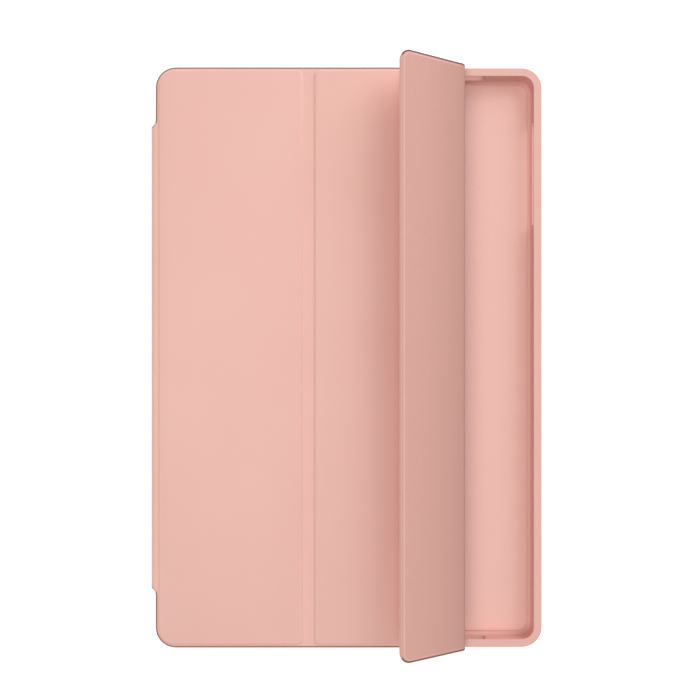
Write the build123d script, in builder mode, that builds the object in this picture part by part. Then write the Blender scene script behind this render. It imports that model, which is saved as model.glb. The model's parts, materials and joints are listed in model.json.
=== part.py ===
from build123d import *
import math
import os

# A slim tri-fold folio case for a tablet, lying on its back. The spine runs along the -X edge, the tablet's
# top edge is at +Y and the screen faces +Z. The origin is the centre of the back face. Millimetres.
#
# One sheet of leather and one sheet of microfibre wrap the whole case. They are bonded together at the folds
# and round every stiffener board, so each panel is a board sealed between them and each fold is two thin
# layers. The third panel is half as wide as the others and lies folded back over the second one.

# --- driving dimensions ---------------------------------------------------------------------------------------

tablet_width = 162.0
tablet_height = 247.0
tablet_thickness = 7.0
tablet_play = 0.2  # air on each side of the tablet

leather = 0.8
lining = 0.5
cover_board = 1.0
spine_board_thickness = 1.0

tray_wall = 2.7
tray_floor = 1.2
tray_felt = 0.4
floor_cove = 1.5  # radius where the floor meets the walls
lip_reach = 0.8  # how far the soft lip hooks over the tablet's edge, all round
lip_thickness = 0.6

cover_height = 252.0
panel_pitch = 67.65  # from one fold to the next
flap_turn = 152.5  # how far the third panel is folded back from lying flat, in degrees
fold_width = 5.6  # the flexible channel between two boards
band_length = 201.0  # the spine stops short of the case's rounded corners

case_corner = 8.7
board_corner = 2.6
flap_corner = 5.0

edge_rim = 2.25  # bonded rim outside the boards, along the short edges
spine_rim = 2.1
flap_rim = 2.0

cover_gap = 0.3  # air between the tray's rim and the closed cover
spine_gap = 0.3  # air between the tray's side and the spine

camera_width = 12.0
camera_length = 24.0
camera_inset_x = 17.0  # from the tray's edges to the window's centre
camera_inset_y = 24.0
window_height = 4.8  # of the slots in the tray's walls
port_length = 14.0
speaker_length = 24.0
speaker_spread = 96.0
button_length = 46.0
button_y = 82.0

magnet_length = 22.0
magnet_width = 5.0
magnet_thickness = 0.8
magnet_count = 4
magnet_spacing = 52.0
wake_magnet_radius = 4.0
wake_magnet_y = 104.0
keeper_length = 180.0
keeper_width = 9.0
pocket_play = 0.1

# --- worked out from them -------------------------------------------------------------------------------------

laminate = leather + lining
spine_depth = leather + spine_board_thickness + lining

bay_width = tablet_width + 2 * tablet_play
bay_height = tablet_height + 2 * tablet_play
tray_width = bay_width + 2 * tray_wall
tray_height = bay_height + 2 * tray_wall

right_edge = (tray_width + spine_gap + spine_depth) / 2
left_edge = -right_edge
tray_x = right_edge - tray_width / 2
inner_edge = left_edge + spine_depth  # where the flat cover and the flat back end, beside the spine

floor_top = leather + tray_floor
felt_top = floor_top + tray_felt
lip_bottom = felt_top + tablet_thickness + 0.1
rim_top = lip_bottom + lip_thickness
window_middle = felt_top + tablet_thickness / 2

cover_bottom = rim_top + cover_gap
cover_middle = cover_bottom + laminate / 2
rim_surface = cover_bottom + laminate


def axis_inset(strip_length, turn):
    """How far inside a bend, from the middle of the laminate, one fixed axis serves both the flat strip
    and the strip rolled round by that turn, in degrees."""
    angle = math.radians(turn)
    return strip_length / angle - strip_length / 2 / math.tan(angle / 2)


# At the spine's two edges the laminate turns a quarter circle whose outer radius is the spine's depth.
corner_strip = (spine_depth - laminate / 2) * math.pi / 2
corner_inset = axis_inset(corner_strip, 90)
spine_axis_x = inner_edge - corner_strip / 2
front_axis_z = cover_middle - corner_inset
back_axis_z = laminate / 2 + corner_inset

fold_1_2_x = spine_axis_x + panel_pitch
fold_2_3_x = fold_1_2_x + panel_pitch
flap_inset = axis_inset(fold_width, flap_turn)
fold_axis_z = cover_middle + flap_inset

# A panel's plane lies on the underside of its lining, with local X measured from the panel's own fold.
across_flap = Vector(math.cos(math.radians(flap_turn)), 0, math.sin(math.radians(flap_turn)))
flap_normal = Vector(-across_flap.Z, 0, across_flap.X)
flap_origin = Vector(fold_2_3_x, 0, fold_axis_z) + flap_normal * (cover_bottom - fold_axis_z)
panel_1_plane = Plane((spine_axis_x, 0, cover_bottom))
panel_2_plane = Plane((fold_1_2_x, 0, cover_bottom))
panel_3_plane = Plane(flap_origin, x_dir=across_flap, z_dir=flap_normal)

os.makedirs("parts", exist_ok=True)


def save(piece, name):
    piece.label = name
    export_step(piece, f"parts/{name}.step")


def plate(plane, low_x, high_x, height, low_corner, high_corner):
    """A rectangle on a plane, from low_x to high_x, with one corner radius at each end."""
    with BuildSketch(plane) as outline:
        with Locations(((low_x + high_x) / 2, 0)):
            Rectangle(high_x - low_x, height)
        if low_corner:
            fillet(outline.vertices().group_by(Axis.X)[0], low_corner)
        if high_corner:
            fillet(outline.vertices().group_by(Axis.X)[-1], high_corner)
    return outline.sketch


def bars(plane, x, width, length, count=1, spacing=0.0):
    """A column of equal bars along Y, centred on local x."""
    with BuildSketch(plane) as column:
        with Locations((x, 0)):
            with GridLocations(1, spacing, 1, count):
                Rectangle(width, length)
    return column.sketch


# --- tray -----------------------------------------------------------------------------------------------------


def camera_window(height):
    """The round-ended window over the rear camera, near the spine and the top edge."""
    centre_x = tray_x - tray_width / 2 + camera_inset_x
    centre_y = tray_height / 2 - camera_inset_y
    with BuildSketch(Plane.XY.offset(height)) as window:
        with Locations((centre_x, centre_y)):
            SlotOverall(camera_length, camera_width, rotation=90)
    return window.sketch


# The tray is moulded in a soft plastic: a floor, a wall all round with a thin lip that stretches over the
# tablet's edge, and slots in the walls for the charging port, the speakers and the side buttons.
bay_corner = case_corner - tray_wall
bay_depth = rim_top - floor_top
wall_middle_y = tray_height / 2 - tray_wall / 2
with BuildPart() as back_shell:
    with BuildSketch(Plane.XY.offset(leather)):
        with Locations((tray_x, 0)):
            RectangleRounded(tray_width, tray_height, case_corner)
    extrude(amount=rim_top - leather)
    fillet(back_shell.edges().group_by(Axis.Z)[0], 0.9)
    fillet(back_shell.edges().group_by(Axis.Z)[-1], 0.6)
    with BuildSketch(Plane.XY.offset(floor_top)):
        with Locations((tray_x, 0)):
            RectangleRounded(bay_width, bay_height, bay_corner)
    extrude(amount=bay_depth, mode=Mode.SUBTRACT)
    bay_floor = back_shell.faces().filter_by(Axis.Z).filter_by_position(Axis.Z, floor_top, floor_top)[0]
    fillet(bay_floor.edges(), floor_cove)
    with BuildSketch(Plane.XY.offset(lip_bottom)):
        with Locations((tray_x, 0)):
            RectangleRounded(bay_width, bay_height, bay_corner)
            RectangleRounded(
                bay_width - 2 * lip_reach,
                bay_height - 2 * lip_reach,
                bay_corner - lip_reach,
                mode=Mode.SUBTRACT,
            )
    extrude(amount=lip_thickness)
    extrude(camera_window(0), amount=felt_top, mode=Mode.SUBTRACT)
    with Locations((tray_x, -wall_middle_y, window_middle)):
        Box(port_length, 2 * tray_wall, window_height, mode=Mode.SUBTRACT)
    with Locations((tray_x, 0, window_middle)):
        with GridLocations(speaker_spread, 2 * wall_middle_y, 2, 2):
            Box(speaker_length, 2 * tray_wall, window_height, mode=Mode.SUBTRACT)
    with Locations((right_edge - tray_wall / 2, button_y, window_middle)):
        Box(2 * tray_wall, button_length, window_height, mode=Mode.SUBTRACT)
save(back_shell.part, "back_shell")

# The leather on the back runs to the spine's edge, where it turns up round the tray.
back_margin = 0.9
with BuildPart() as back_skin:
    extrude(
        plate(
            Plane.XY,
            inner_edge,
            right_edge - back_margin,
            tray_height - 2 * back_margin,
            case_corner - back_margin,
            case_corner - back_margin,
        ),
        amount=leather,
    )
    extrude(camera_window(0), amount=leather, mode=Mode.SUBTRACT)
save(back_skin.part, "back_skin")

# Microfibre on the tray's floor keeps the tablet's back from being scratched.
felt_margin = floor_cove + 0.3
with BuildPart() as tray_lining:
    with BuildSketch(Plane.XY.offset(floor_top)):
        with Locations((tray_x, 0)):
            RectangleRounded(
                bay_width - 2 * felt_margin, bay_height - 2 * felt_margin, bay_corner - felt_margin
            )
    extrude(amount=tray_felt)
    extrude(camera_window(floor_top), amount=tray_felt, mode=Mode.SUBTRACT)
save(tray_lining.part, "tray_lining")

# --- spine ----------------------------------------------------------------------------------------------------

# The spine stands beside the tray between its two bonded folds, with a narrow stiffener sealed in it. Here
# the leather stays flush outside and the lining steps inwards over the stiffener.
spine_low = spine_depth
spine_high = rim_surface - spine_depth
spine_middle = (spine_low + spine_high) / 2
spine_plane = Plane((left_edge, 0, spine_middle), x_dir=(0, 0, 1), z_dir=(1, 0, 0))
spine_half = (spine_high - spine_low) / 2
stiffener_half = spine_half - 0.9
stiffener_length = band_length - 3.0

with BuildPart() as spine_skin:
    extrude(plate(spine_plane, -spine_half, spine_half, band_length, 0, 0), amount=leather)
save(spine_skin.part, "spine_skin")

with BuildPart() as spine_board:
    stiffener_plane = spine_plane.offset(leather)
    extrude(
        plate(stiffener_plane, -stiffener_half, stiffener_half, stiffener_length, 0, 0),
        amount=spine_board_thickness,
    )
save(spine_board.part, "spine_board")

with BuildPart() as spine_lining:
    bond_plane = spine_plane.offset(leather)
    hump_half = stiffener_half + lining
    hump_length = stiffener_length + 2 * lining
    extrude(plate(bond_plane, -spine_half, spine_half, band_length, 0, 0), amount=lining)
    extrude(plate(bond_plane, -hump_half, hump_half, hump_length, 0, 0), amount=spine_board_thickness + lining)
    extrude(
        plate(bond_plane, -stiffener_half, stiffener_half, stiffener_length, 0, 0),
        amount=spine_board_thickness,
        mode=Mode.SUBTRACT,
    )
save(spine_lining.part, "spine_lining")

# --- cover panels ---------------------------------------------------------------------------------------------


def cover_panel(name, plane, low_x, high_x, rims, corners, board_corners, pockets=None):
    """One rigid panel as three pieces: the lining flat underneath, the board on it, and the leather that is
    bonded to the lining round the board and steps up over it. rims, corners and board_corners each hold a
    value for the panel's low and high end. pockets is cut through the board."""
    board_low = low_x + rims[0] + leather
    board_high = high_x - rims[1] - leather
    board_height = cover_height - 2 * edge_rim - 2 * leather
    bond_plane = plane.offset(lining)
    inner_corners = [radius - leather for radius in board_corners]

    with BuildPart() as panel_lining:
        extrude(plate(plane, low_x, high_x, cover_height, *corners), amount=lining)
    save(panel_lining.part, f"{name}_lining")

    with BuildPart() as panel_board:
        extrude(plate(bond_plane, board_low, board_high, board_height, *inner_corners), amount=cover_board)
        if pockets:
            extrude(pockets, amount=cover_board, mode=Mode.SUBTRACT)
    save(panel_board.part, f"{name}_board")

    with BuildPart() as panel_skin:
        extrude(plate(bond_plane, low_x, high_x, cover_height, *corners), amount=leather)
        raised = plate(
            bond_plane,
            board_low - leather,
            board_high + leather,
            board_height + 2 * leather,
            *board_corners,
        )
        extrude(raised, amount=cover_board + leather)
        top_face = panel_skin.faces().sort_by(Axis(plane.origin, plane.z_dir))[-1]
        fillet(top_face.edges(), 0.45)
        extrude(
            plate(bond_plane, board_low, board_high, board_height, *inner_corners),
            amount=cover_board,
            mode=Mode.SUBTRACT,
        )
    save(panel_skin.part, f"{name}_skin")


half_fold = fold_width / 2
keeper_x = 9.5
keeper_pocket = bars(
    panel_1_plane.offset(lining), keeper_x, keeper_width + 2 * pocket_play, keeper_length + 2 * pocket_play
)
cover_panel(
    "panel_1",
    panel_1_plane,
    corner_strip / 2,
    panel_pitch - half_fold,
    (spine_rim, 0),
    (case_corner, 0),
    (case_corner - spine_rim, board_corner),
    keeper_pocket,
)
cover_panel(
    "panel_2",
    panel_2_plane,
    half_fold,
    panel_pitch - half_fold,
    (0, 0),
    (0, 0),
    (board_corner, board_corner),
)

# Bar magnets along the flap's free edge hold it shut and hold the stand. A small disc by the top corner
# works the tablet's wake sensor.
flap_width = panel_pitch / 2
magnet_x = flap_width - 7.0
with BuildSketch(panel_3_plane.offset(lining)) as magnet_pockets:
    add(
        bars(
            Plane.XY,
            magnet_x,
            magnet_width + 2 * pocket_play,
            magnet_length + 2 * pocket_play,
            magnet_count,
            magnet_spacing,
        )
    )
    with Locations((magnet_x, wake_magnet_y)):
        Circle(wake_magnet_radius + pocket_play)
cover_panel(
    "panel_3",
    panel_3_plane,
    half_fold,
    flap_width,
    (0, flap_rim),
    (0, flap_corner),
    (board_corner, flap_corner - flap_rim),
    magnet_pockets.sketch,
)

inlay_base = lining + (cover_board - magnet_thickness) / 2
with BuildPart() as closing_magnets:
    magnet_plane = panel_3_plane.offset(inlay_base)
    extrude(
        bars(magnet_plane, magnet_x, magnet_width, magnet_length, magnet_count, magnet_spacing),
        amount=magnet_thickness,
    )
save(closing_magnets.part, "closing_magnets")

with BuildPart() as wake_magnet:
    with BuildSketch(panel_3_plane.offset(inlay_base)):
        with Locations((magnet_x, wake_magnet_y)):
            Circle(wake_magnet_radius)
    extrude(amount=magnet_thickness)
save(wake_magnet.part, "wake_magnet")

# A thin steel strip beside the spine is what the flap's magnets catch when the cover is folded as a stand.
with BuildPart() as keeper_strip:
    keeper_plane = panel_1_plane.offset(inlay_base)
    extrude(bars(keeper_plane, keeper_x, keeper_width, keeper_length), amount=magnet_thickness)
save(keeper_strip.part, "keeper_strip")

# --- folds ----------------------------------------------------------------------------------------------------


def rolled_strip(centre_x, centre_z, inner_radius, thickness, start_angle, turn, length):
    """A strip of laminate rolled round an axis along Y, starting at an angle measured from +X towards +Z."""
    outer_radius = inner_radius + thickness
    with BuildPart() as strip:
        with BuildSketch(Plane((centre_x, 0, centre_z), x_dir=(1, 0, 0), z_dir=(0, -1, 0))):
            with BuildLine():
                inner = CenterArc((0, 0), inner_radius, start_angle, turn)
                outer = CenterArc((0, 0), outer_radius, start_angle, turn)
                Line(inner @ 0, outer @ 0)
                Line(inner @ 1, outer @ 1)
            make_face()
        extrude(amount=length / 2, both=True)
    return strip.part


# Round the tray's long edge the lining is on the inside of the bend and the leather outside.
corner_lining_radius = spine_depth - laminate
corner_leather_radius = spine_depth - leather
front_corner = (inner_edge, spine_high)
back_corner = (inner_edge, spine_low)
for fold, corner, start in (("spine_front_fold", front_corner, 90), ("spine_back_fold", back_corner, 180)):
    save(rolled_strip(*corner, corner_lining_radius, lining, start, 90, band_length), f"{fold}_lining")
    save(rolled_strip(*corner, corner_leather_radius, leather, start, 90, band_length), f"{fold}_skin")

# The fold between the first two panels lies flat.
with BuildPart() as fold_1_2_lining:
    extrude(plate(panel_2_plane, -half_fold, half_fold, cover_height, 0, 0), amount=lining)
save(fold_1_2_lining.part, "fold_1_2_lining")

with BuildPart() as fold_1_2_skin:
    extrude(plate(panel_2_plane.offset(lining), -half_fold, half_fold, cover_height, 0, 0), amount=leather)
save(fold_1_2_skin.part, "fold_1_2_skin")

# The flap's fold is rolled over, leather faces together, so here the leather is inside the bend.
roll_radius = fold_width / math.radians(flap_turn)
roll_inside = roll_radius - laminate / 2
roll_centre = (fold_2_3_x - half_fold, cover_middle + roll_radius)
flap_skin_roll = rolled_strip(*roll_centre, roll_inside, leather, -90, flap_turn, cover_height)
save(flap_skin_roll, "fold_2_3_skin")
flap_lining_roll = rolled_strip(*roll_centre, roll_inside + leather, lining, -90, flap_turn, cover_height)
save(flap_lining_roll, "fold_2_3_lining")

print("tray", round(tray_width, 2), "x", round(tray_height, 2), "bay", round(bay_width, 2), "x", bay_height)
print("case", round(2 * right_edge, 2), "wide, tray centre x", round(tray_x, 3))
print("heights: rim", rim_top, "cover", cover_bottom, "to", cover_bottom + laminate + cover_board)
print("spine axis x", round(spine_axis_x, 4), "z front", round(front_axis_z, 4), "back", round(back_axis_z, 4))
print("folds x", round(fold_1_2_x, 4), round(fold_2_3_x, 4), "z", round(fold_axis_z, 4))
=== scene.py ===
# %% [markdown]
# # A tri-fold folio case for a tablet
#
# The case is a soft moulded tray with a leather cover. One sheet of coated leather and one sheet of
# microfibre run over the whole cover, and are pressed together round thin boards. Where there is no
# board, the two layers make a living hinge. The last panel lies folded back and shows its microfibre
# side.
#
# The sizes and the hinges come from the CAD model. This script keeps its tray, boards, magnets and steel
# strip, and makes the leather and the microfibre again with the edges, shoulders and surfaces that the
# real materials have.

# %% Load the CAD model
import json
import math

import bmesh
import bpy
from mathutils import Matrix, Vector


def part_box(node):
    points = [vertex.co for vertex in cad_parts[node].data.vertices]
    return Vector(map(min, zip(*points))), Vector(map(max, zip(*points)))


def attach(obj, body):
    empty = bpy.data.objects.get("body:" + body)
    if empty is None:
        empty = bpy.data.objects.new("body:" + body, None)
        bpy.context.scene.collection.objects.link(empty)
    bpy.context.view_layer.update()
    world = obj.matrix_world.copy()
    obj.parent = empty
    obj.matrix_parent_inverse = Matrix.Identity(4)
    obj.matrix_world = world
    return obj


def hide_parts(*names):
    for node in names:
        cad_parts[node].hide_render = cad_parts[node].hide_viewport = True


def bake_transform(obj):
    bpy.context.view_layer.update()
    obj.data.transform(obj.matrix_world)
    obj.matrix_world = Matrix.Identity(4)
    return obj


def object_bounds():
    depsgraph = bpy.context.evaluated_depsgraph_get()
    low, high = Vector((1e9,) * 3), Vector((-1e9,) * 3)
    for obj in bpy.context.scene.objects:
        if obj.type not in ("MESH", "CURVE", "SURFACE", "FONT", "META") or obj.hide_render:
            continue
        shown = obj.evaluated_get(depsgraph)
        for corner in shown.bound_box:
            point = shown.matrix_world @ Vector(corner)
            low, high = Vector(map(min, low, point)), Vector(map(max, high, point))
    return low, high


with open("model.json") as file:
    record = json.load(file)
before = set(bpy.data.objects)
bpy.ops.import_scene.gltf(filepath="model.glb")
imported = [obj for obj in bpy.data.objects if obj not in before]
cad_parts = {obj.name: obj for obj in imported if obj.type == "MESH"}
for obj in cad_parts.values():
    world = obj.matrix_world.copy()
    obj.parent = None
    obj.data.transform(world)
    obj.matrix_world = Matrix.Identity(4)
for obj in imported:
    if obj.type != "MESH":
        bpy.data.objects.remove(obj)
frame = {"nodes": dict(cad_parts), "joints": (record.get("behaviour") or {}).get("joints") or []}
cad_low, cad_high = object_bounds()
mm = 0.001
print("CAD box in mm:", [round(side / mm, 2) for side in cad_high - cad_low])

# %% [markdown]
# ## Where everything is
#
# Every place is read from the CAD boxes and hinges, so that nothing has to be fitted. The flap is the one
# part that lies at an angle. Its boxes are read after turning its corners back down about its own hinge,
# so that it can be modelled lying flat, like the other panels, and turned up at the end.

# %% Read the layout
hinges = {joint["name"]: joint for joint in frame["joints"]}
flap_hinge = Vector(hinges["fold_2_3"]["pos_m"])
flap_turn = math.radians(-hinges["fold_2_3"]["range_deg"][0])
turn_flap_up = Matrix.Rotation(flap_turn, 3, Vector(hinges["fold_2_3"]["axis"]))


def laid_flat(node):
    """The box of one of the flap's CAD nodes, once the flap is turned down flat."""
    turn_down = turn_flap_up.inverted()
    corners = [turn_down @ (v.co - flap_hinge) + flap_hinge for v in frame["nodes"][node].data.vertices]
    return Vector(map(min, zip(*corners))), Vector(map(max, zip(*corners)))


panels = {
    "panel_1": (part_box("panel_1_lining"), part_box("panel_1_board")),
    "panel_2": (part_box("panel_2_lining"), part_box("panel_2_board")),
    "panel_3": (laid_flat("panel_3_lining"), laid_flat("panel_3_board")),
}
cover_bottom = panels["panel_1"][0][0].z
bond_height = panels["panel_1"][0][1].z
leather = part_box("fold_1_2_skin")[1].z - bond_height
lining = bond_height - cover_bottom
board = panels["panel_1"][1][1].z - bond_height
print("layers in mm:", *(round(layer / mm, 2) for layer in (lining, board, leather)))

# %% [markdown]
# ## Camera and light
#
# The case lies on its back and is seen from straight above, from about 30 cm away. A lens at that
# distance makes the raised flap look taller than the panels under it, so the distance matters more than
# the focal length. A small vertical shift frames the case without tilting the camera, which keeps its
# long edges parallel.

# %% Set up the camera
camera_foot = Vector((1.46 * mm, -8.5 * mm))
camera_above_cover = 297 * mm
camera_data = bpy.data.cameras.new("camera")
camera_data.sensor_width = 36
camera_data.lens = 35.2
camera_data.shift_y = 0.0386
camera_data.clip_start = 10 * mm
camera = bpy.data.objects.new("camera", camera_data)
camera.location = (*camera_foot, bond_height + leather + camera_above_cover)
bpy.context.scene.collection.objects.link(camera)
bpy.context.scene.camera = camera
print("camera is", round(camera.location.z / mm), "mm above the table")

# %% [markdown]
# The light is that of a product table: a pale surround that fills every shadow, a wide soft lamp
# overhead, and one towards the upper right. The lamp on the right is what shows the pressed edges,
# because it brightens the shoulders that face it and leaves the others darker. It is nearly as wide as it
# is far away, so the flap's shadow on the second panel fades over a few centimetres. The one overhead
# stands a little to the left, where it reaches under the flap's raised edge.

# %% Set up the light and the floor


def linear(hex_colour):
    """An sRGB colour such as "EEBCB1" as the linear red, green, blue and alpha that a shader takes."""
    channels = [int(hex_colour[i : i + 2], 16) / 255 for i in (0, 2, 4)]
    return [c / 12.92 if c <= 0.04045 else ((c + 0.055) / 1.055) ** 2.4 for c in channels] + [1.0]


def soft_lamp(name, place, size, power):
    """A square lamp, placed and sized in metres, that points at the middle of the case."""
    data = bpy.data.lights.new(name, "AREA")
    data.size = size
    data.energy = power
    lamp = bpy.data.objects.new(name, data)
    lamp.location = place
    lamp.rotation_euler = (-lamp.location).to_track_quat("-Z", "Y").to_euler()
    bpy.context.scene.collection.objects.link(lamp)


bpy.context.scene.view_settings.view_transform = "Standard"
world = bpy.data.worlds.new("surround")
world.use_nodes = True
world.node_tree.nodes["Background"].inputs["Color"].default_value = (1, 1, 1, 1)
world.node_tree.nodes["Background"].inputs["Strength"].default_value = 0.36
bpy.context.scene.world = world
soft_lamp("key", place=(0.98, 1.00, 0.92), size=1.25, power=14.6)
soft_lamp("top", place=(-0.30, -0.08, 1.00), size=0.90, power=5.2)
print("lamps:", [item.name for item in bpy.data.lights])

# %% [markdown]
# ## Materials
#
# Each material has two kinds of detail: a colour that drifts over a few centimetres, as dyed and coated
# materials do, and a fine relief at the size of its own grain or fibres. All patterns use Object
# coordinates in metres, so their scale is one over a real length.

# %% A helper for nodes


def add(material, kind, settings=(), links=()):
    """Adds a node. A setting is an input's value or the node's own property, and a link feeds an input."""
    node = material.node_tree.nodes.new(kind)
    for name, value in dict(settings).items():
        if isinstance(name, int) or name in node.inputs:
            node.inputs[name].default_value = value
        else:
            setattr(node, name, value)
    for name, source in dict(links).items():
        material.node_tree.links.new(source, node.inputs[name])
    return node


def per(length):
    """The scale of a pattern that repeats about once in a length."""
    return 1 / length


def blank_material(name, settings):
    """A material with its shader, whose constant values are set on the shader itself."""
    material = bpy.data.materials.new(name)
    material.use_nodes = True
    shader = material.node_tree.nodes["Principled BSDF"]
    for socket, value in settings.items():
        shader.inputs[socket].default_value = value
    return material, shader


# %% [markdown]
# ** Coated leather.** Polyurethane on a woven backing, pressed with a fine pebble grain and then
# heat-embossed over the boards. It is satin, not glossy. The raised shoulders are painted a little
# lighter, partly as rubbed wear and partly as a painted highlight, and an attribute that the mesh
# carries says where. The real grain is about 0.4 mm across; it is drawn at 0.7 mm so that it can be
# seen at all.

# %% Coated leather


def coated_leather():
    material, shader = blank_material(
        "coated_leather",
        {"IOR": 1.5, "Specular IOR Level": 0.4, "Sheen Weight": 0.05, "Sheen Roughness": 0.6},
    )
    place = add(material, "ShaderNodeTexCoord").outputs["Object"]
    drift = add(material, "ShaderNodeTexNoise", {"Scale": per(35 * mm), "Detail": 2.0}, {"Vector": place})
    dyed = add(
        material,
        "ShaderNodeMix",
        {"data_type": "RGBA", 6: linear("ECB7AA"), 7: linear("F0BEB2")},
        {0: drift.outputs["Fac"]},
    )
    # The shoulders are mixed towards a pale pink, partly rubbed wear and partly a painted highlight.
    worn_and_lit = add(material, "ShaderNodeAttribute", {"attribute_name": "wear_and_highlight"})
    rubbed_and_highlighted = add(
        material,
        "ShaderNodeMix",
        {"data_type": "RGBA", 7: linear("FFDCD3")},
        {0: worn_and_lit.outputs["Fac"], 6: dyed.outputs[2]},
    )
    pebbles = add(
        material, "ShaderNodeTexVoronoi", {"feature": "SMOOTH_F1", "Scale": per(0.7 * mm)}, {"Vector": place}
    )
    pores = add(material, "ShaderNodeTexNoise", {"Scale": per(0.3 * mm), "Detail": 3.0}, {"Vector": place})
    relief = add(
        material,
        "ShaderNodeBump",
        {"Strength": 0.35, "Distance": 0.04 * mm},
        {"Height": pebbles.outputs["Distance"]},
    )
    relief = add(
        material,
        "ShaderNodeBump",
        {"Strength": 0.25, "Distance": 0.02 * mm},
        {"Height": pores.outputs["Fac"], "Normal": relief.outputs["Normal"]},
    )
    satin = add(
        material, "ShaderNodeMapRange", {"To Min": 0.44, "To Max": 0.58}, {"Value": pores.outputs["Fac"]}
    )
    material.node_tree.links.new(rubbed_and_highlighted.outputs[2], shader.inputs["Base Color"])
    material.node_tree.links.new(satin.outputs["Result"], shader.inputs["Roughness"])
    material.node_tree.links.new(relief.outputs["Normal"], shader.inputs["Normal"])
    return material


# %% [markdown]
# **Cut edge.** Where the sheets are cut, the coating, its backing and the glue show as a darker line,
# sealed by the heat of the cutter. The microfibre melts more than the coating does, so its line is darker
# and wider.

# %% Cut edge


def cut_edge(name, dark, light):
    material, shader = blank_material(name, {"IOR": 1.5, "Specular IOR Level": 0.3})
    place = add(material, "ShaderNodeTexCoord").outputs["Object"]
    fibres = add(material, "ShaderNodeTexNoise", {"Scale": per(0.8 * mm), "Detail": 4.0}, {"Vector": place})
    colour = add(
        material,
        "ShaderNodeMix",
        {"data_type": "RGBA", 6: linear(dark), 7: linear(light)},
        {0: fibres.outputs["Fac"]},
    )
    relief = add(
        material,
        "ShaderNodeBump",
        {"Strength": 0.5, "Distance": 0.05 * mm},
        {"Height": fibres.outputs["Fac"]},
    )
    dull = add(
        material, "ShaderNodeMapRange", {"To Min": 0.6, "To Max": 0.8}, {"Value": fibres.outputs["Fac"]}
    )
    material.node_tree.links.new(colour.outputs[2], shader.inputs["Base Color"])
    material.node_tree.links.new(dull.outputs["Result"], shader.inputs["Roughness"])
    material.node_tree.links.new(relief.outputs["Normal"], shader.inputs["Normal"])
    return material


# %% [markdown]
# **Brushed microfibre.** Polyester split into very fine fibres and brushed into a short nap. It has no
# gloss, only the soft rim of light that the nap gives at a flat angle, which is what the sheen is for.
# The nap is drawn as noise stretched along the brushing, which runs the long way of the case. The cover's
# lining is a shade deeper than the leather, and the tray's is painted lighter, which lifts the shade of the
# tray's recess. Where the lining is pressed round a board, its edge is painted lighter, partly as rubbed
# wear and partly as a painted highlight, like the leather's, where an attribute of the mesh says. Over
# the folds it is painted darker, as painted shade, where a second attribute says.

# %% Brushed microfibre


def microfibre(name, valley, tip, patch, fold_shade_colour):
    """The colours are those between the fibres, at their tips, of patches, and of the painted shade over a
    fold.
    """
    material, shader = blank_material(
        name,
        {"Roughness": 0.95, "Specular IOR Level": 0.15, "Sheen Weight": 0.25, "Sheen Roughness": 0.45},
    )
    place = add(material, "ShaderNodeTexCoord").outputs["Object"]
    brushed = add(material, "ShaderNodeMapping", {"Scale": (1.0, 0.35, 1.0)}, {"Vector": place})
    nap = add(
        material,
        "ShaderNodeTexNoise",
        {"Scale": per(0.7 * mm), "Detail": 5.0, "Roughness": 0.65},
        {"Vector": brushed.outputs["Vector"]},
    )
    patches = add(material, "ShaderNodeTexNoise", {"Scale": per(22 * mm), "Detail": 3.0}, {"Vector": place})
    tufts = add(
        material,
        "ShaderNodeMix",
        {"data_type": "RGBA", 6: linear(valley), 7: linear(tip)},
        {0: nap.outputs["Fac"]},
    )
    brushed_over = add(
        material,
        "ShaderNodeMix",
        {"data_type": "RGBA", 7: linear(patch)},
        {0: patches.outputs["Fac"], 6: tufts.outputs[2]},
    )
    # The pressed edge is mixed towards a pale pink, partly rubbed wear and partly a painted highlight.
    worn_and_lit = add(material, "ShaderNodeAttribute", {"attribute_name": "wear_and_highlight"})
    polished_and_highlighted = add(
        material,
        "ShaderNodeMix",
        {"data_type": "RGBA", 7: linear("F6CBC0")},
        {0: worn_and_lit.outputs["Fac"], 6: brushed_over.outputs[2]},
    )
    # Painted shade: the lining is mixed towards a dark colour over the folds.
    painted_fold_shade = add(material, "ShaderNodeAttribute", {"attribute_name": "painted_fold_shade"})
    colour = add(
        material,
        "ShaderNodeMix",
        {"data_type": "RGBA", 7: linear(fold_shade_colour)},
        {0: painted_fold_shade.outputs["Fac"], 6: polished_and_highlighted.outputs[2]},
    )
    relief = add(
        material, "ShaderNodeBump", {"Strength": 0.5, "Distance": 0.08 * mm}, {"Height": nap.outputs["Fac"]}
    )
    material.node_tree.links.new(colour.outputs[2], shader.inputs["Base Color"])
    material.node_tree.links.new(relief.outputs["Normal"], shader.inputs["Normal"])
    return material


# %% [markdown]
# **Soft-touch polyurethane.** The tray is injection moulded in a rubbery thermoplastic. Its mould was
# spark-eroded, which leaves an even, fine, matt texture with no direction.

# %% Soft-touch polyurethane


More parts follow.
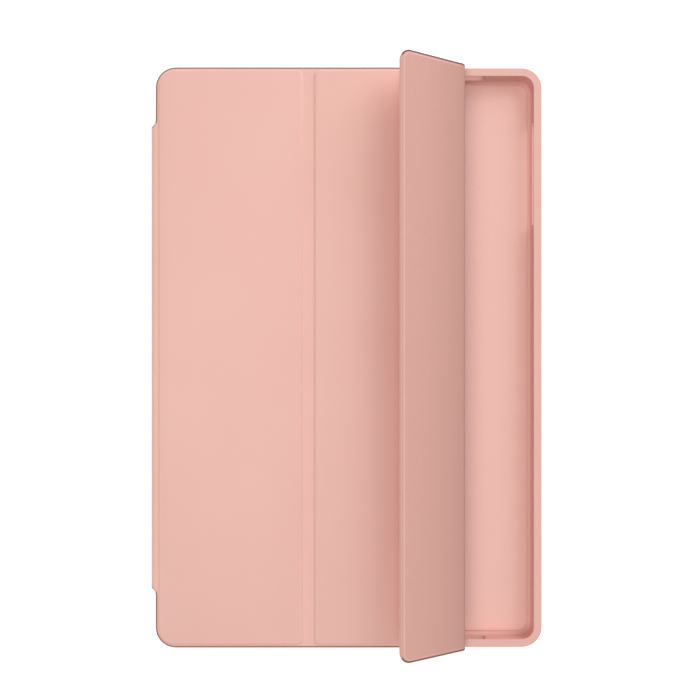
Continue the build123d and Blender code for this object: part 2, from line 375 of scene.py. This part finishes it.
def soft_plastic():
    material, shader = blank_material("moulded_polyurethane", {"IOR": 1.5, "Specular IOR Level": 0.35})
    place = add(material, "ShaderNodeTexCoord").outputs["Object"]
    sparks = add(material, "ShaderNodeTexNoise", {"Scale": per(0.5 * mm), "Detail": 3.0}, {"Vector": place})
    drift = add(material, "ShaderNodeTexNoise", {"Scale": per(45 * mm), "Detail": 1.0}, {"Vector": place})
    colour = add(
        material,
        "ShaderNodeMix",
        {"data_type": "RGBA", 6: linear("E8B3A8"), 7: linear("EBB8AD")},
        {0: drift.outputs["Fac"]},
    )
    relief = add(
        material,
        "ShaderNodeBump",
        {"Strength": 0.3, "Distance": 0.02 * mm},
        {"Height": sparks.outputs["Fac"]},
    )
    matt = add(
        material, "ShaderNodeMapRange", {"To Min": 0.5, "To Max": 0.64}, {"Value": sparks.outputs["Fac"]}
    )
    material.node_tree.links.new(colour.outputs[2], shader.inputs["Base Color"])
    material.node_tree.links.new(matt.outputs["Result"], shader.inputs["Roughness"])
    material.node_tree.links.new(relief.outputs["Normal"], shader.inputs["Normal"])
    return material


# %% [markdown]
# **What is sealed inside.** The boards are pressed from paper fibres, the magnets are nickel plated, and
# the steel strip was rolled, which leaves fine lines along its length. None of it shows until the case is
# taken apart.

# %% Board, nickel and steel


def inner_material(name, settings, dark, light, grain, roughness):
    """A material with two colours mixed by one noise, whose grain is a repeat length along each axis."""
    material, shader = blank_material(name, settings)
    place = add(material, "ShaderNodeTexCoord").outputs["Object"]
    along = add(material, "ShaderNodeMapping", {"Scale": [per(step) for step in grain]}, {"Vector": place})
    noise = add(
        material, "ShaderNodeTexNoise", {"Scale": 1.0, "Detail": 4.0}, {"Vector": along.outputs["Vector"]}
    )
    colour = add(
        material,
        "ShaderNodeMix",
        {"data_type": "RGBA", 6: linear(dark), 7: linear(light)},
        {0: noise.outputs["Fac"]},
    )
    finish = add(
        material,
        "ShaderNodeMapRange",
        {"To Min": roughness[0], "To Max": roughness[1]},
        {"Value": noise.outputs["Fac"]},
    )
    relief = add(
        material,
        "ShaderNodeBump",
        {"Strength": 0.3, "Distance": 0.02 * mm},
        {"Height": noise.outputs["Fac"]},
    )
    material.node_tree.links.new(colour.outputs[2], shader.inputs["Base Color"])
    material.node_tree.links.new(finish.outputs["Result"], shader.inputs["Roughness"])
    material.node_tree.links.new(relief.outputs["Normal"], shader.inputs["Normal"])
    return material


leather_face = coated_leather()
leather_edge = cut_edge("sealed_leather_edge", dark="8F6257", light="A8796E")
lining_edge = cut_edge("sealed_lining_edge", dark="6A443B", light="80554B")
# The last colour of each microfibre is the painted shade over a fold.
cover_fibre = microfibre(
    "brushed_microfibre_cover", valley="CF9C92", tip="E0AEA2", patch="D8A59A", fold_shade_colour="74493F"
)
# The tray's microfibre is painted lighter than the cover's, which lifts the shade of the tray's recess.
tray_fibre_painted_lighter = microfibre(
    "brushed_microfibre_tray_painted_lighter", valley="EFBAAF", tip="FACABF", patch="F5C3B7", fold_shade_colour="B98478"
)
leather_look = (leather_face, leather_edge)
lining_look = (cover_fibre, lining_edge)
tray_plastic = soft_plastic()
fibreboard = inner_material(
    "pressed_fibreboard", {"IOR": 1.5}, "CFCBC2", "E4E1DA", (1.5 * mm, 0.6 * mm, 1.5 * mm), (0.8, 0.95)
)
nickel = inner_material(
    "nickel_plate", {"Metallic": 1.0}, "CFCAC0", "DDD8CE", (3 * mm, 3 * mm, 3 * mm), (0.2, 0.32)
)
rolled_steel = inner_material(
    "rolled_steel", {"Metallic": 1.0}, "A9A8A6", "BFBEBC", (0.4 * mm, 18 * mm, 0.4 * mm), (0.32, 0.48)
)

# %% [markdown]
# The CAD nodes that stay take these materials on their own slots.

# %% Paint the CAD nodes that stay
kept_nodes = {
    "back_shell": tray_plastic,
    "spine_board": fibreboard,
    "panel_1_board": fibreboard,
    "panel_2_board": fibreboard,
    "panel_3_board": fibreboard,
    "closing_magnets": nickel,
    "wake_magnet": nickel,
    "keeper_strip": rolled_steel,
}
for node, material in kept_nodes.items():
    mesh = frame["nodes"][node].data
    mesh.materials.clear()
    mesh.materials.append(material)
    print(node, "is", material.name)

# %% [markdown]
# ## A sheet pressed round a board
#
# Every flat part of the cover is the same thing: a sheet with a bonded side, a rim where it is pressed
# against the other sheet, and a raised field where a board lies under it. A box with a bevel would give a
# sharp step. The real step is an S-shaped shoulder, because hot leather can't follow a sharp corner. So
# the field is walked up in small insets along such a curve, and the flat rim is filled in between the
# field and the outline.
#
# The sheet is made lying flat, with its bonded side at height zero and its visible side up, and is moved
# into place afterwards.

# %% Outlines
corner_segments = 10


def rounded_face(work, low, high, height, corners):
    """A flat face between two (x, y) corners, with a radius for its low-X end and one for its high-X end."""
    ends = [(low[0], low[1]), (low[0], high[1]), (high[0], high[1]), (high[0], low[1])]
    points = [work.verts.new((x, y, height)) for x, y in reversed(ends)]
    before = set(work.faces)
    work.faces.new(points)
    for pair, radius in ((points[2:], corners[0]), (points[:2], corners[1])):
        if radius:
            bmesh.ops.bevel(
                work,
                geom=pair,
                offset=radius,
                offset_type="OFFSET",
                segments=corner_segments,
                profile=0.5,
                affect="VERTICES",
                material=-1,
            )
    return next(face for face in work.faces if face not in before)


def outline_of(work, *where):
    """The closed loop of edges round such a face."""
    face = rounded_face(work, *where)
    loop = list(face.edges)
    bmesh.ops.delete(work, geom=[face], context="FACES_ONLY")
    return loop


def open_edges_of(work):
    """The edges that have a face on one side only."""
    return [edge for edge in work.edges if edge.is_boundary]


def open_for(work, face, loop):
    """Cuts a flat face open round a loop of edges that lies in it."""
    edges = list(face.edges) + loop
    bmesh.ops.delete(work, geom=[face], context="FACES_ONLY")
    bmesh.ops.triangle_fill(work, edges=edges, use_beauty=True, use_dissolve=False)


# %% [markdown]
# The cut edge of a sheet is slightly rounded where the cutter pressed it, and its heat leaves a thin dark
# line on top. It is only rounded where the sheet really ends, and not where it runs on into a fold, so
# each sheet is told which of its edges are free.

# %% A plate with rounded edges
edge_rounding = 0.45 * mm
most_rounding = 0.6  # as a share of the sheet's thickness
rounding_segments = 4
dark_line = 0.3 * mm
hairline = 0.02 * mm
edge_reach = 1 * mm  # how near to an edge the middle of its rounding lies, at most
level = 0.999  # a face whose normal has at least this much Z lies flat


def runs_past(edge, x, y):
    """Whether an edge lies along Y at this X and runs past this Y."""
    near, far = sorted(vert.co.y for vert in edge.verts)
    return near < y < far and all(abs(vert.co.x - x) < hairline for vert in edge.verts)


def slab(work, low, high, thickness, corners, is_free, breaks=(), line=dark_line):
    """A plate whose free upper edges are rounded and dark. Its low-X edge can be free on a part of its
    length, and breaks are the Y between which that changes. Returns its lower and its upper face."""
    lower = rounded_face(work, low, high, 0, corners)
    for y in breaks:
        edge = next(edge for edge in lower.edges if runs_past(edge, low[0], y))
        bmesh.utils.edge_split(edge, edge.verts[0], abs(y - edge.verts[0].co.y) / edge.calc_length())
    lifted = bmesh.ops.extrude_face_region(work, geom=[lower], use_keep_orig=True)["geom"]
    points = [item for item in lifted if isinstance(item, bmesh.types.BMVert)]
    bmesh.ops.translate(work, verts=points, vec=(0, 0, thickness))
    upper = next(item for item in lifted if isinstance(item, bmesh.types.BMFace))
    free = [edge for edge in upper.edges if is_free((edge.verts[0].co + edge.verts[1].co) / 2)]
    for edge in free:
        for face in edge.link_faces:
            face.material_index = 0 if face == upper else 1
    rounded = bmesh.ops.bevel(
        work,
        geom=free,
        offset=min(edge_rounding, thickness * most_rounding),
        offset_type="OFFSET",
        segments=rounding_segments,
        profile=0.5,
        affect="EDGES",
        material=-1,
        clamp_overlap=False,
    )
    for face in rounded["faces"]:
        face.material_index = 1
    flat = [face for face in work.faces if abs(face.normal.z) > level]
    upper = max(flat, key=lambda face: (round(face.calc_center_median().z, 6), face.calc_area()))
    draw_dark_line(work, upper, low, high, is_free, line)
    return lower, upper


# %% The dark line


def draw_dark_line(work, upper, low, high, is_free, line):
    """Divides a thin dark ring from the upper face, which is only a hairline where the sheet runs on."""
    near_end = 1.5 * line
    ring = bmesh.ops.inset_region(
        work, faces=[upper], thickness=line, use_even_offset=True, use_boundary=True
    )
    for vert in upper.verts:
        if vert.co.x > high[0] - near_end and not is_free(Vector((high[0], high[1]))):
            vert.co.x = high[0] - hairline
        if vert.co.x < low[0] + near_end and not is_free(Vector((low[0], high[1]))):
            vert.co.x = low[0] + hairline
    for face in ring["faces"]:
        outer = next(edge for edge in face.edges if not any(vert in upper.verts for vert in edge.verts))
        face.material_index = 1 if is_free((outer.verts[0].co + outer.verts[1].co) / 2) else 0


# %% [markdown]
# The shoulder's height follows half a cosine wave, so it leaves the rim and meets the field without a
# corner. Its upper half is painted lighter, partly as rubbed wear and partly as a painted highlight: the
# mark rises to 4/27 of the strength below at two thirds of the height, and is nothing on the rim and on
# the field.

# %% The shoulder
# The strength of the lighter shoulders: rubbed wear and a painted highlight.
rub_and_highlight = 4.0


def climb(work, face, width, rise, steps=10):
    """Walks a face inwards and up an S-shaped shoulder."""
    heights = [rise * (1 - math.cos(math.pi * step / steps)) / 2 for step in range(steps + 1)]
    for here, above in zip(heights, heights[1:]):
        bmesh.ops.inset_region(
            work, faces=[face], thickness=width / steps, use_even_offset=True, use_boundary=True
        )
        bmesh.ops.translate(work, verts=face.verts, vec=(0, 0, above - here))
    return face


# %% Put it together


def pressed_sheet(low, high, thickness, corners, is_free, field=None, breaks=(), line=dark_line):
    """A sheet lying flat. If a board lies under it, field is (low, high, corners, shoulder width, rise,
    hollow), and hollow is (low, high, corners, depth) or None."""
    work = bmesh.new()
    lower, upper = slab(work, low, high, thickness, corners, is_free, breaks, line)
    if field:
        field_low, field_high, field_corners, shoulder, rise, hollow = field
        raised = rounded_face(work, field_low, field_high, thickness, field_corners)
        climb(work, raised, shoulder, rise)
        open_for(work, upper, open_edges_of(work))
        # Paints the shoulders lighter, as rubbed wear and a painted highlight.
        wear_and_highlight = work.verts.layers.float.new("wear_and_highlight")
        for vert in work.verts:
            share = max(0.0, (vert.co.z - thickness) / rise)
            vert[wear_and_highlight] = rub_and_highlight * share**2 * (1 - share)
        if hollow:
            inside = rounded_face(work, *hollow[:2], 0, hollow[2])
            lifted = bmesh.ops.extrude_face_region(work, geom=[inside])["geom"]
            points = [item for item in lifted if isinstance(item, bmesh.types.BMVert)]
            bmesh.ops.translate(work, verts=points, vec=(0, 0, hollow[3]))
            bmesh.ops.delete(work, geom=[inside], context="FACES_ONLY")
            open_for(work, lower, open_edges_of(work))
    return work


# %% [markdown]
# A finished sheet is closed, so its normals can be recalculated to point outwards. Smooth shading stops
# at the angles that are sharp on the real sheet, which keeps the flat fields flat.

# %% Finish a piece
sharp_from = math.radians(40)


def finish_piece(work, name, materials, slot, nodes):
    """Turns a bmesh into a piece of the case that stands for these CAD nodes."""
    bmesh.ops.recalc_face_normals(work, faces=work.faces)
    mesh = bpy.data.meshes.new(name)
    work.to_mesh(mesh)
    open_edges = sum(1 for edge in work.edges if len(edge.link_faces) != 2)
    work.free()
    mesh.shade_smooth()
    mesh.set_sharp_from_angle(angle=sharp_from)
    for material in materials:
        mesh.materials.append(material)
    piece = bpy.data.objects.new(name, mesh)
    bpy.context.scene.collection.objects.link(piece)
    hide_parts(*nodes)
    print(name, len(mesh.polygons), "faces,", open_edges, "open edges")
    return piece


def face_down(work):
    """Turns a sheet over, so that its visible side is below its bonded side."""
    bmesh.ops.scale(work, verts=work.verts, vec=(1, 1, -1))


# %% [markdown]
# ## Three panels
#
# The radii of the corners and the widths of the pressed rims are the sizes that a box can't tell. The
# rest of each outline is its CAD box. The raised field starts a little inside the sheet's free edges.
# Beside a fold it starts right at the panel's end, and the fold's own strip stays flat so that it can
# bend. Between the first two panels the leather's shoulders lean over the fold a little, which makes the
# channel look narrower than the fold is.

# %% Sizes of the panels
case_corner = 8.7 * mm
board_corner = 2.6 * mm
flap_corner = 5.0 * mm
leather_rims = (1.3 * mm, 1.2 * mm)
lining_rims = (1.3 * mm, 0.8 * mm)
leather_shoulder = 1.0 * mm
lining_shoulder = 0.9 * mm
lining_press = 0.22 * mm
seam = 0.1 * mm  # between a raised field and the fold beside it
lean = 0.55 * mm  # of the leather's shoulder over the flat fold, on each side
run_on = 5 * mm  # of the lining's field over the rolled fold
melted_line = 0.5 * mm  # the width of the dark line round the lining
on_the_edge = 0.01 * mm
print("outer corners in mm:", round(case_corner / mm, 2), "and", round(flap_corner / mm, 2), "on the flap")

# %% [markdown]
# The low-X edge of the first panel is cut above and below the spine, and runs on into it between. The
# notch there is a quarter circle with the spine's own depth as its radius. The edge is divided in two
# places at each end of the spine, so that its rounding runs out between them.

# %% Which edges are free
band_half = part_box("spine_skin")[1].y
spine_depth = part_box("spine_front_fold_skin")[1].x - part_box("spine_front_fold_skin")[0].x
notch_end = band_half + spine_depth
notch_run = 1.4 * mm
notch_breaks = (-notch_end, notch_run - notch_end, notch_end - notch_run, notch_end)
outline_corners = {"panel_1": (case_corner, 0), "panel_2": (0, 0), "panel_3": (0, flap_corner)}
free_ends = {"panel_1": (True, False), "panel_2": (False, False), "panel_3": (False, True)}
leather_lean = {"panel_1": (0, lean), "panel_2": (-lean, 0), "panel_3": (0, 0)}
runs_on = {"panel_1": (0, 0), "panel_2": (0, run_on), "panel_3": (-run_on, 0)}


def is_free_edge(name, point, low, high):
    """Whether a point of a panel's outline is on an edge where the sheet really ends."""
    if point.x > high.x - on_the_edge:
        return free_ends[name][1]
    if point.x < low.x + on_the_edge:
        return free_ends[name][0] and abs(point.y) > notch_end
    return True


# %% A panel's sheet


def panel_sheet(name, thickness, rims, shoulder, rise, lean_over=(0, 0), hollow=None, line=dark_line):
    """A panel's leather or its lining, lying flat with its bonded side at height zero."""
    low, high = (corner.copy() for corner in panels[name][0])
    low.x, high.x = low.x + lean_over[0], high.x + lean_over[1]
    margins = [rims[0] if free else seam for free in free_ends[name]]
    field_low = Vector((low.x + margins[0], low.y + rims[1]))
    field_high = Vector((high.x - margins[1], high.y - rims[1]))
    corners = [max(outer - rims[0], board_corner) for outer in outline_corners[name]]
    field = (field_low, field_high, corners, shoulder, rise, hollow)
    breaks = notch_breaks if free_ends[name][0] else ()

    def is_free(point):
        return is_free_edge(name, point, low, high)

    return pressed_sheet(low, high, thickness, outline_corners[name], is_free, field, breaks, line)


def cut_across(work, places):
    """Cuts a sheet across at each X, and leaves it whole."""
    for x in places:
        everything = [*work.verts, *work.edges, *work.faces]
        bmesh.ops.bisect_plane(work, geom=everything, plane_co=(x, 0, 0), plane_no=(1, 0, 0))


def cut_off(work, x, side):
    """Cuts away what lies past an X, towards +X or -X, and closes the cut."""
    everything = [*work.verts, *work.edges, *work.faces]
    bmesh.ops.bisect_plane(
        work, geom=everything, plane_co=(x, 0, 0), plane_no=(side, 0, 0), clear_outer=True
    )
    bmesh.ops.edgeloop_fill(work, edges=open_edges_of(work))


# %% A panel's leather and its lining


def panel_leather(name):
    """The leather of a panel, with the hollow that its board fills."""
    board_low, board_high = panels[name][1]
    inner = [max(outer - leather_rims[0], board_corner) - leather for outer in outline_corners[name]]
    hollow = (board_low, board_high, inner, board)
    work = panel_sheet(name, leather, leather_rims, leather_shoulder, board, leather_lean[name], hollow)
    bmesh.ops.translate(work, verts=work.verts, vec=(0, 0, bond_height))
    return work


def panel_lining(name):
    """The microfibre of a panel, pressed a little thinner round the board. The field runs on over the rolled
    fold, so it is made too long there and cut off at the fold."""
    low, high = panels[name][0]
    past = runs_on[name]
    thin = lining - lining_press
    work = panel_sheet(name, thin, lining_rims, lining_shoulder, lining_press, past, line=melted_line)
    for x, side, extra in ((low.x, -1, past[0]), (high.x, 1, past[1])):
        if extra:
            cut_off(work, x, side)
    face_down(work)
    bmesh.ops.translate(work, verts=work.verts, vec=(0, 0, bond_height))
    return work


# %% [markdown]
# The flap has two features of its own. Its long edge is folded over, and its microfibre is painted darker
# towards the fold, as painted shade.

# %% What only the flap has
corner_share = 0.4  # how much of the corner's radius is folded over too
# Painted shade on the flap's lining where it meets its fold.
shade_at_seam = 0.22


def turn_the_long_edge(work, edge_x, half_length):
    """The flap's long edge is folded over and not cut, so it has no dark line between its corners."""
    for face in work.faces:
        middle = face.calc_center_median()
        if middle.x > edge_x - edge_reach and abs(middle.y) < half_length - corner_share * flap_corner:
            face.material_index = 0


def paint_shade_towards_fold(work, fold_x, far_x, steps=12):
    """Paints shade on the lining of the flap, darker towards its fold."""
    cut_across(work, [fold_x + (far_x - fold_x) * step / steps for step in range(1, steps)])
    painted_fold_shade = work.verts.layers.float.new("painted_fold_shade")
    for vert in work.verts:
        share = (far_x - vert.co.x) / (far_x - fold_x)
        vert[painted_fold_shade] = shade_at_seam * share**2


# %% Make the panels
for name in panels:
    skin, under = panel_leather(name), panel_lining(name)
    if name == "panel_3":
        paint_shade_towards_fold(under, panels[name][0][0].x, panels[name][0][1].x)
        for work in (skin, under):
            turn_the_long_edge(work, panels[name][0][1].x, panels[name][0][1].y)
            bmesh.ops.rotate(work, verts=work.verts, cent=flap_hinge, matrix=turn_flap_up)
    outer = finish_piece(skin, f"{name}_leather", leather_look, "cover_leather", [f"{name}_skin"])
    inner = finish_piece(under, f"{name}_microfibre", lining_look, "microfibre", [f"{name}_lining"])
    for piece in (outer, inner):
        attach(piece, name)

# %% [markdown]
# ## Folds
#
# A fold is the same laminate with no board in it. The one between the first two panels lies flat and is
# cut across many times. The others are rolled, and spinning the sheet's cross-section round the roll's
# own axis gives exactly that shape.

# %% The flat fold
fold_low, fold_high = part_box("fold_1_2_lining")


def flat_fold(narrower, thickness, cuts=14):
    """The strip between the first two panels, cut across many times."""
    low, high = fold_low + Vector((narrower, 0, 0)), fold_high - Vector((narrower, 0, 0))

    def is_free(point):
        return abs(point.y) > high.y - edge_reach

    work = pressed_sheet(low, high, thickness, (0, 0), is_free)
    cut_across(work, [low.x + (high.x - low.x) * cut / cuts for cut in range(1, cuts)])
    return work


def place_flat_fold(work, name, materials, slot, node):
    """Lays the strip in place."""
    bmesh.ops.translate(work, verts=work.verts, vec=(0, 0, bond_height))
    piece = finish_piece(work, name, materials, slot, [node])
    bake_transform(piece)


strip = flat_fold(lean, leather)
place_flat_fold(strip, "fold_1_2_leather", leather_look, "cover_leather", "fold_1_2_skin")
strip = flat_fold(0, lining)
face_down(strip)
place_flat_fold(strip, "fold_1_2_microfibre", lining_look, "microfibre", "fold_1_2_lining")

# %% [markdown]
# A rolled fold starts as the sheet's cross-section along the fold: a thin rectangle with its two outer
# corners rounded. The extra points near its ends are where the dark line stops.

# %% A rolled fold


def rolled_fold(centre, near, far, half_length, start_angle, turn, visible_outside, steps=16):
    """A layer of a rolled fold, from one radius to the other, spun about an axis along Y from an angle that
    is measured from +X towards +Z. The cut ends of the visible side are rounded."""
    work = bmesh.new()
    reach = Vector((math.cos(start_angle), 0, math.sin(start_angle)))
    line = half_length - edge_rounding - dark_line
    hidden, seen = (near, far) if visible_outside else (far, near)
    ends = [(hidden, -half_length), (hidden, half_length), (seen, half_length), (seen, line), (seen, -line)]
    ends.append((seen, -half_length))
    points = [work.verts.new(centre + reach * radius + Vector((0, y, 0))) for radius, y in ends]
    work.faces.new(points)
    bmesh.ops.bevel(
        work,
        geom=[points[2], points[5]],
        offset=min(edge_rounding, (far - near) * most_rounding),
        offset_type="OFFSET",
        segments=rounding_segments,
        profile=0.5,
        affect="VERTICES",
        material=-1,
    )
    bmesh.ops.spin(
        work, geom=list(work.faces), cent=centre, axis=(0, -1, 0), angle=turn, steps=steps, use_merge=False
    )
    for face in work.faces:
        face.material_index = 1 if abs(face.calc_center_median().y) > line else 0
    return work


# %% [markdown]
# The flap's fold is rolled over with leather inside, so that its microfibre shows.

# %% The flap's fold
roll_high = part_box("fold_2_3_lining")[1]
roll_start = panels["panel_2"][0][1].x
outer_radius = roll_high.x - roll_start
roll_centre = Vector((roll_start, 0, cover_bottom + outer_radius))
half_cover = roll_high.y
between = outer_radius - lining
flap_layers = (
    (between - leather, between, False, "leather", leather_look, "cover_leather", "skin"),
    (between, outer_radius, True, "microfibre", lining_look, "microfibre", "lining"),
)
# Painted shade on the lining over the top of the flap's rolled fold.
shade_on_top = 0.9
tip = flap_turn - math.pi / 2


def paint_shade_over_roll(work):
    """Paints shade on the lining over the top of the roll, down to where it turns under."""
    painted_fold_shade = work.verts.layers.float.new("painted_fold_shade")
    for vert in work.verts:
        angle = math.atan2(vert.co.z - roll_centre.z, vert.co.x - roll_centre.x)
        share = min(1.0, max(0.0, (tip - angle) / tip))
        vert[painted_fold_shade] = shade_at_seam + (shade_on_top - shade_at_seam) * share**2


for near, far, outside, part, look, slot, node in flap_layers:
    work = rolled_fold(roll_centre, near, far, half_cover, -math.pi / 2, flap_turn, outside, steps=24)
    if part == "microfibre":
        paint_shade_over_roll(work)
    piece = finish_piece(work, f"fold_2_3_{part}", look, slot, [f"fold_2_3_{node}"])
    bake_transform(piece)

# %% [markdown]
# ## Spine
#
# The spine is a band that stops short of the case's rounded corners. Seen from above, the cover's edge
# swings out to the band's outer edge in a small concave curve, which ends in a point. So the ends of the
# front fold, which joins the band to the cover, are drawn out along that curve.

# %% The spine's folds
spine_low, spine_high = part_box("spine_skin")
fold_x = spine_low.x + spine_depth
spine_folds = {
    "spine_front_fold": (Vector((fold_x, 0, spine_high.z)), math.pi / 2, ("panel_1", "spine")),
    "spine_back_fold": (Vector((fold_x, 0, spine_low.z)), math.pi, ("spine", "shell")),
}
bonded = spine_depth - leather
spine_layers = (
    (bonded, spine_depth, True, "leather", leather_look, "cover_leather", "skin"),
    (bonded - lining, bonded, False, "microfibre", lining_look, "microfibre", "lining"),
)


def draw_out_ends(work, centre):
    """Lengthens a spine fold towards the cover, along a quarter circle as seen from above."""
    for vert in work.verts:
        if abs(vert.co.y) > band_half - edge_reach:
            offset = vert.co - centre
            share = min(1.0, max(0.0, 1 + offset.x / math.hypot(offset.x, offset.z)))
            vert.co.y += math.copysign(spine_depth * (1 - math.sqrt(1 - share**2)), vert.co.y)


for fold, (centre, angle, (near_body, far_body)) in spine_folds.items():
    for near, far, outside, part, look, slot, node in spine_layers:
        work = rolled_fold(centre, near, far, band_half, angle, math.pi / 2, outside)
        draw_out_ends(work, centre)
        piece = finish_piece(work, f"{fold}_{part}", look, slot, [f"{fold}_{node}"])
        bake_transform(piece)

# %% [markdown]
# The band between the two folds is a plain strip of leather and a strip of microfibre, which is pressed
# round the spine's narrow board. Both are made lying flat and then stood up.

# %% The band
stand_up = Matrix.Rotation(math.radians(-90), 3, "Y")
spine_shoulder = 0.45 * mm


def spine_sheet(thickness, field=None):
    """A sheet of the band, lying flat with the case's height along its own X."""
    low = Vector((spine_low.z, -band_half))
    high = Vector((spine_high.z, band_half))

    def is_free(point):
        return abs(point.y) > band_half - edge_reach

    return pressed_sheet(low, high, thickness, (0, 0), is_free, field)


bond_x = spine_low.x + leather
skin = spine_sheet(leather)
bmesh.ops.rotate(skin, verts=skin.verts, cent=(0, 0, 0), matrix=stand_up)
bmesh.ops.translate(skin, verts=skin.verts, vec=(bond_x, 0, 0))
band = finish_piece(skin, "spine_leather", leather_look, "cover_leather", ["spine_skin"])
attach(band, "spine")

# %% The band's lining
stiff_low, stiff_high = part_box("spine_board")
board_low = Vector((stiff_low.z, stiff_low.y))
board_high = Vector((stiff_high.z, stiff_high.y))
wrap = Vector((lining, lining))
stiffener = stiff_high.x - stiff_low.x
hollow = (board_low, board_high, (0, 0), stiffener)
field = (board_low - wrap, board_high + wrap, (0, 0), spine_shoulder, stiffener, hollow)
under = spine_sheet(lining, field)
face_down(under)
bmesh.ops.rotate(under, verts=under.verts, cent=(0, 0, 0), matrix=stand_up)
bmesh.ops.translate(under, verts=under.verts, vec=(bond_x, 0, 0))
band = finish_piece(under, "spine_microfibre", lining_look, "microfibre", ["spine_lining"])
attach(band, "spine")

# %% [markdown]
# ## Back
#
# The leather on the back and the microfibre on the tray's floor are plain sheets with the camera's window
# cut through them. A box can't tell where a window is, so its size and its distance from the tray's edges
# are given here again.

# %% A sheet with a window
window_size = (12 * mm, 24 * mm)
window_inset = (17 * mm, 24 * mm)
round_end = 0.999  # of half the width, which leaves the straight ends too short to see but not of no length
tray_low, tray_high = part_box("back_shell")
window_middle = Vector((tray_low.x + window_inset[0], tray_high.y - window_inset[1]))


def windowed_sheet(low, high, thickness, corners, is_free):
    """A plain sheet with the round-ended camera window cut through it."""
    work = bmesh.new()
    lower, upper = slab(work, low, high, thickness, corners, is_free)
    half = Vector(window_size) / 2
    loops = []
    for face, height in ((lower, 0), (upper, thickness)):
        radius = half.x * round_end
        loop = outline_of(work, window_middle - half, window_middle + half, height, (radius, radius))
        open_for(work, face, loop)
        loops += loop
    bmesh.ops.bridge_loops(work, edges=loops)
    return work


# %% The back's leather
back_low, back_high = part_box("back_skin")
back_corner = case_corner - 0.9 * mm
beside_spine = back_low.x + 0.1 * mm


def is_free_on_back(point):
    """Whether the back's leather ends at a point of its outline, and doesn't run on into the spine."""
    return point.x > beside_spine or abs(point.y) > band_half


thickness = back_high.z - back_low.z
skin = windowed_sheet(back_low, back_high, thickness, (back_corner, back_corner), is_free_on_back)
face_down(skin)
bmesh.ops.translate(skin, verts=skin.verts, vec=(0, 0, back_high.z))
back = finish_piece(skin, "back_leather", leather_look, "cover_leather", ["back_skin"])
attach(back, "shell")

# %% The tray's microfibre
felt_low, felt_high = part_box("tray_lining")
felt_corner = 4.2 * mm


def is_free_all_round(point):
    """The tray's microfibre joins nothing, so all of its outline is cut."""
    return True


thickness = felt_high.z - felt_low.z
felt = windowed_sheet(felt_low, felt_high, thickness, (felt_corner, felt_corner), is_free_all_round)
bmesh.ops.translate(felt, verts=felt.verts, vec=(0, 0, felt_low.z))
floor_cloth = finish_piece(felt, "tray_microfibre", (tray_fibre_painted_lighter, tray_fibre_painted_lighter), "microfibre", ["tray_lining"])
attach(floor_cloth, "shell")

# %% [markdown]
# ## The table under the case
#
# A light table, which is white acrylic lit a little from below, keeps the ground white right up to the
# case.

# %% Floor
floor_material, _ = blank_material(
    "pale_table",
    {
        "Roughness": 0.9,
        "Base Color": linear("F0F0F0"),
        "Emission Color": (1, 1, 1, 1),
        "Emission Strength": 0.4,
    },
)
floor_reach = 2.0
work = bmesh.new()
bmesh.ops.create_grid(work, x_segments=1, y_segments=1, size=floor_reach)
floor_mesh = bpy.data.meshes.new("floor")
work.to_mesh(floor_mesh)
work.free()
floor_mesh.materials.append(floor_material)
floor = bpy.data.objects.new("floor", floor_mesh)
floor.location.z = cad_low.z
bpy.context.scene.collection.objects.link(floor)
print("floor is", 2 * floor_reach, "m wide")
